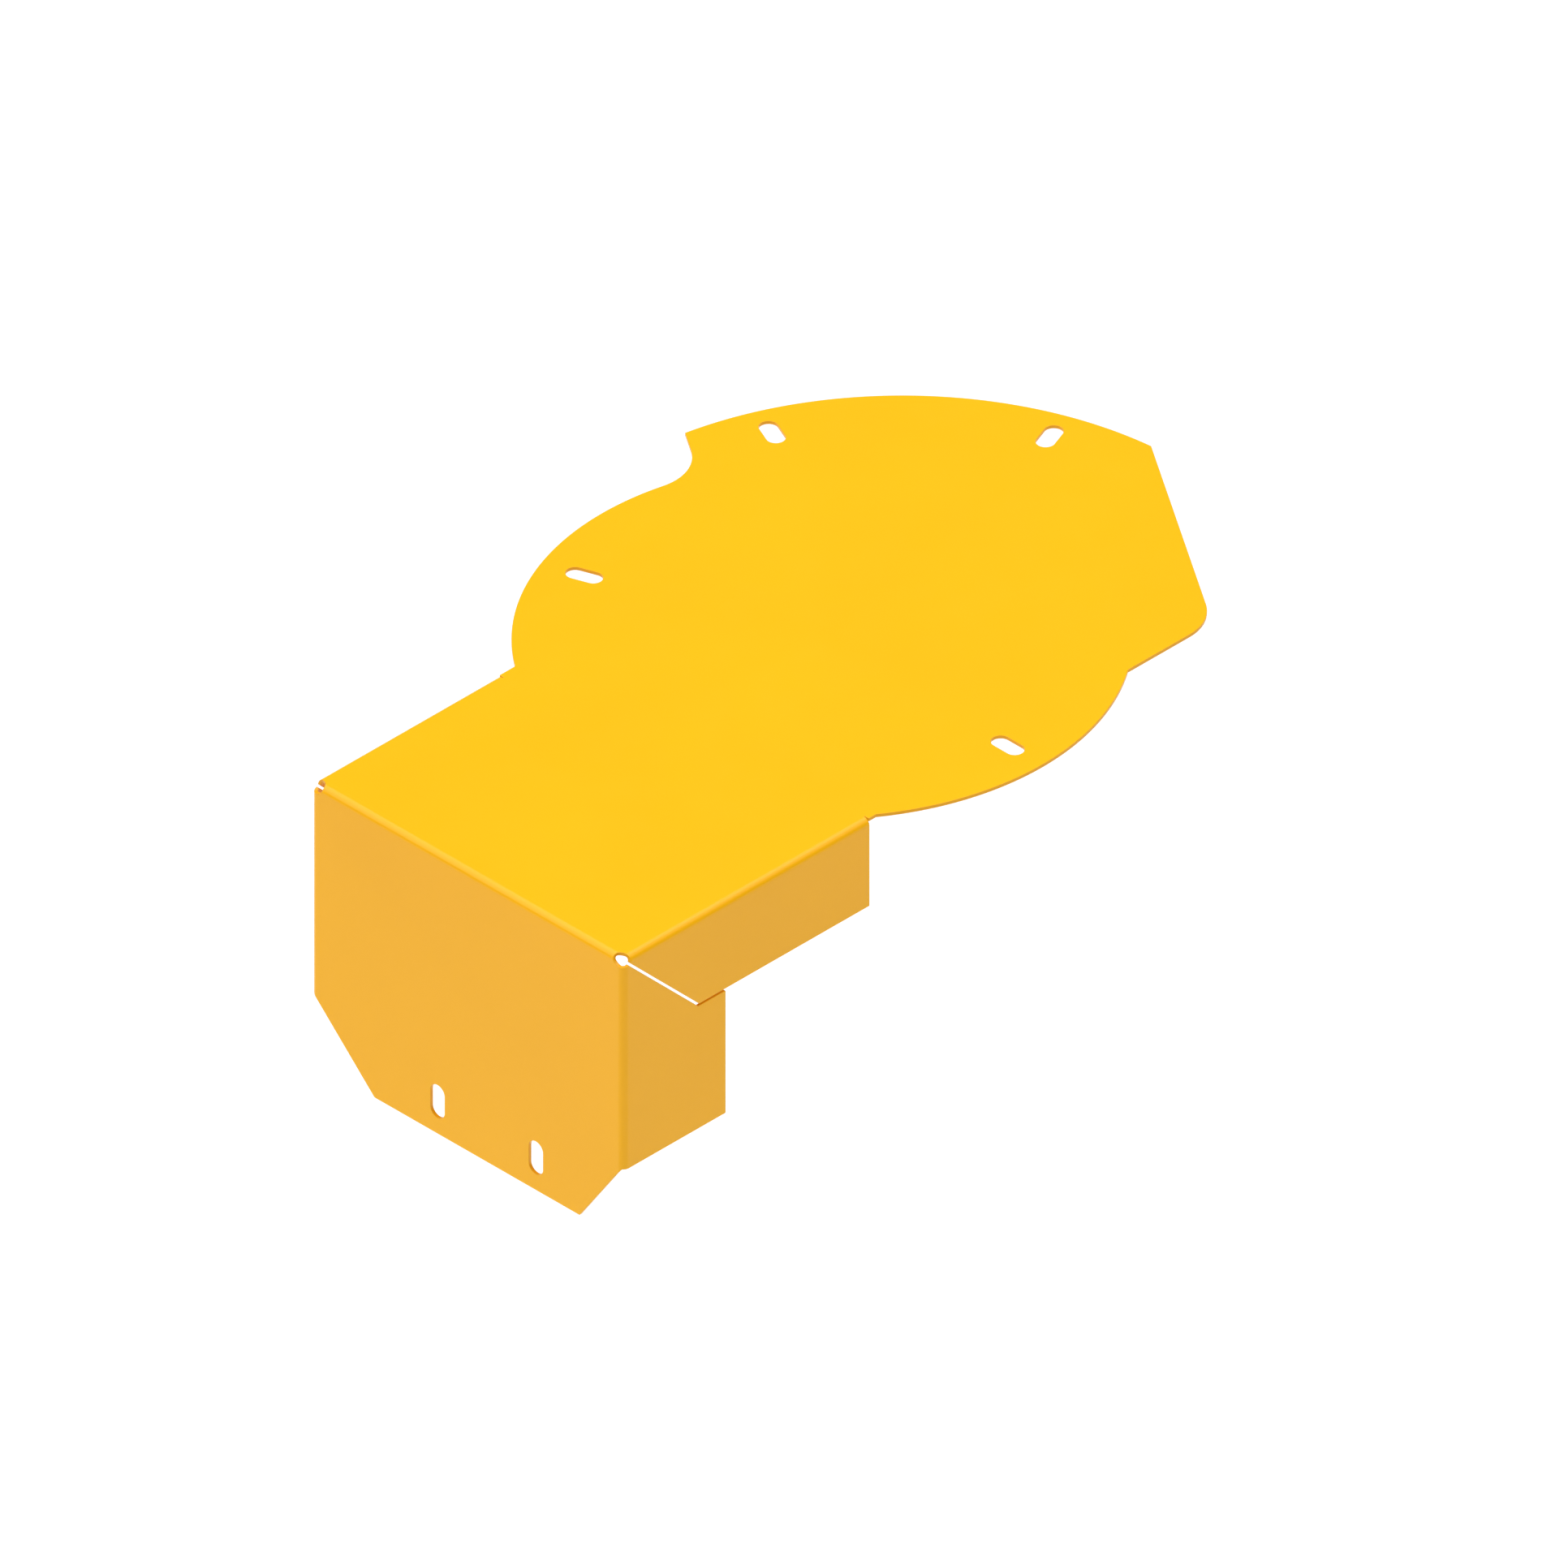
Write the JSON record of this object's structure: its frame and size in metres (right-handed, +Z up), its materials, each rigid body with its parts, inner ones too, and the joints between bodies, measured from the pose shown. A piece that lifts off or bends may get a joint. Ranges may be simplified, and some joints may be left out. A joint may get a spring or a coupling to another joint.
{
  "type": "machine guard",
  "caption": "Folded sheet-steel guard: flat top plate with a round lobe and a curved back edge, bent-down front panel with chamfered corners, side and return flanges, obround bolt slots.",
  "frame": {"origin": "centre of the top plate's round lobe, on the plate's underside, which is the face that lies on the machine", "axes": "+Z up, away from the machine; +Y back, from the front panel towards the curved back edge; +X to the right as seen from the front"},
  "size_m": [0.3354, 0.5109, 0.173],
  "materials": {
    "powder_coat": "semi-gloss yellow powder coat"
  },
  "bodies": {
    "root": {"folded_guard": "powder_coat"}
  },
  "joints": []
}
